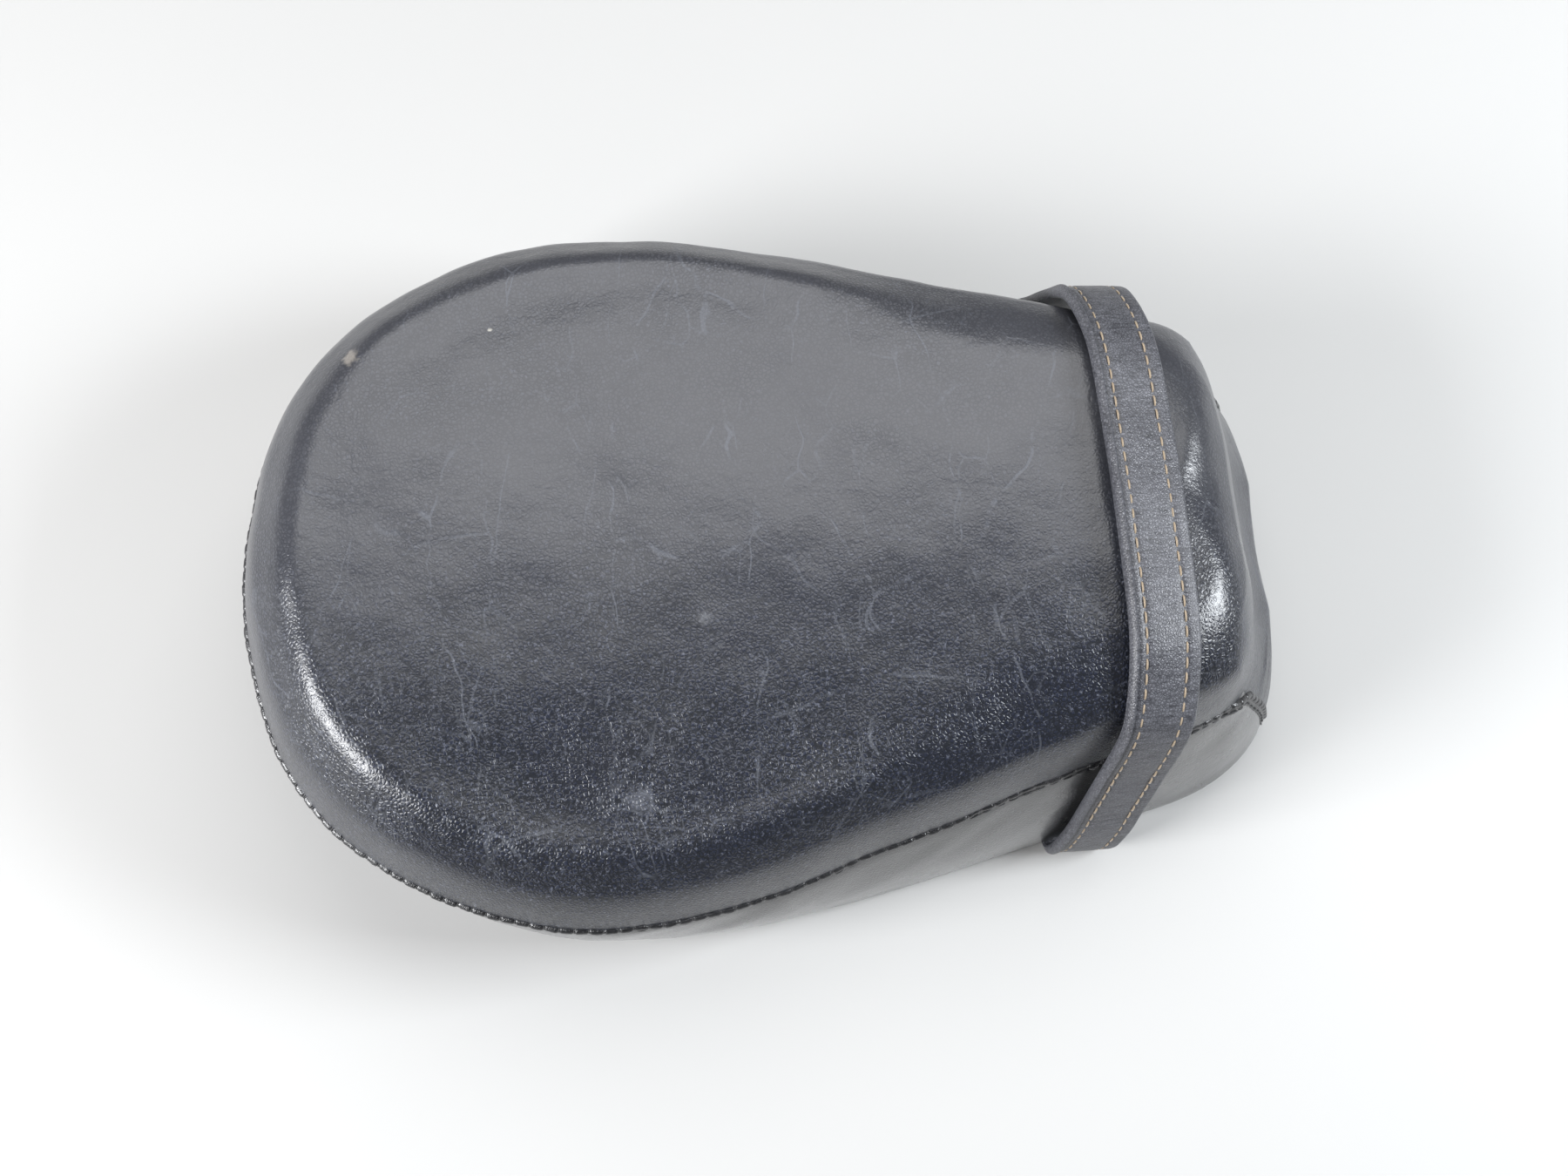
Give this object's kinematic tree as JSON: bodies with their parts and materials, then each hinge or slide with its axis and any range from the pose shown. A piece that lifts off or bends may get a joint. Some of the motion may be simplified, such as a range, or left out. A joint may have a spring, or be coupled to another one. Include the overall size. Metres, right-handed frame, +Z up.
{
  "type": "motorcycle passenger seat",
  "caption": "Pear-shaped black motorcycle passenger seat with a stitched cover over foam, a folded base pan on rubber feet, and a grab strap across the nose.",
  "frame": {"origin": "under the middle of the outline, at the level of the rubber feet's undersides", "axes": "+X towards the narrow nose and the rider's seat, +Y to the left side, +Z up"},
  "size_m": [0.3701, 0.2508, 0.1191],
  "materials": {
    "cover_leather": "satin",
    "side_leather": "satin",
    "foam_grey": "matte",
    "pan_plastic": "matte",
    "bracket_steel": "satin",
    "bolt_zinc": "satin",
    "insert_zinc": "satin",
    "foot_rubber": "matte",
    "strap_leather": "satin",
    "strap_end_leather": "satin",
    "nylon_webbing": "matte",
    "plate_steel": "satin",
    "screw_steel": "satin",
    "staple_steel": "satin"
  },
  "bodies": {
    "seat": {"cover_top_panel": "cover_leather", "cover_side_panel": "side_leather", "foam_cushion": "foam_grey", "base_pan": "pan_plastic", "front_bracket": "bracket_steel", "rear_bracket": "bracket_steel", "front_bolt_1": "bolt_zinc", "front_bolt_2": "bolt_zinc", "rear_bolt_1": "bolt_zinc", "rear_bolt_2": "bolt_zinc", "front_insert_1": "insert_zinc", "front_insert_2": "insert_zinc", "rear_insert_1": "insert_zinc", "rear_insert_2": "insert_zinc", "foot_rear_left": "foot_rubber", "foot_rear_right": "foot_rubber", "foot_middle_left": "foot_rubber", "foot_middle_right": "foot_rubber", "foot_front_left": "foot_rubber", "foot_front_right": "foot_rubber", "strap_end_left": "strap_end_leather", "strap_end_right": "strap_end_leather", "strap_plate_left": "plate_steel", "strap_plate_right": "plate_steel", "strap_screw_left_1": "screw_steel", "strap_screw_left_2": "screw_steel", "strap_screw_right_1": "screw_steel", "strap_screw_right_2": "screw_steel", "strap_insert_left_1": "insert_zinc", "strap_insert_left_2": "insert_zinc", "strap_insert_right_1": "insert_zinc", "strap_insert_right_2": "insert_zinc", "staple_01": "staple_steel", "staple_02": "staple_steel", "staple_03": "staple_steel", "staple_04": "staple_steel", "staple_05": "staple_steel", "staple_06": "staple_steel", "staple_07": "staple_steel", "staple_08": "staple_steel", "staple_09": "staple_steel", "staple_10": "staple_steel", "staple_11": "staple_steel", "staple_12": "staple_steel", "staple_13": "staple_steel", "staple_14": "staple_steel", "staple_15": "staple_steel", "staple_16": "staple_steel", "staple_17": "staple_steel", "staple_18": "staple_steel", "staple_19": "staple_steel"},
    "strap": {"strap_sleeve": "strap_leather", "strap_webbing": "nylon_webbing"}
  },
  "joints": [
    {"name": "strap_swing", "type": "hinge", "parent": "seat", "child": "strap", "pos_m": [0.107, 0, 0.015], "axis": [0, 1, 0], "range_deg": [0, 25]}
  ]
}
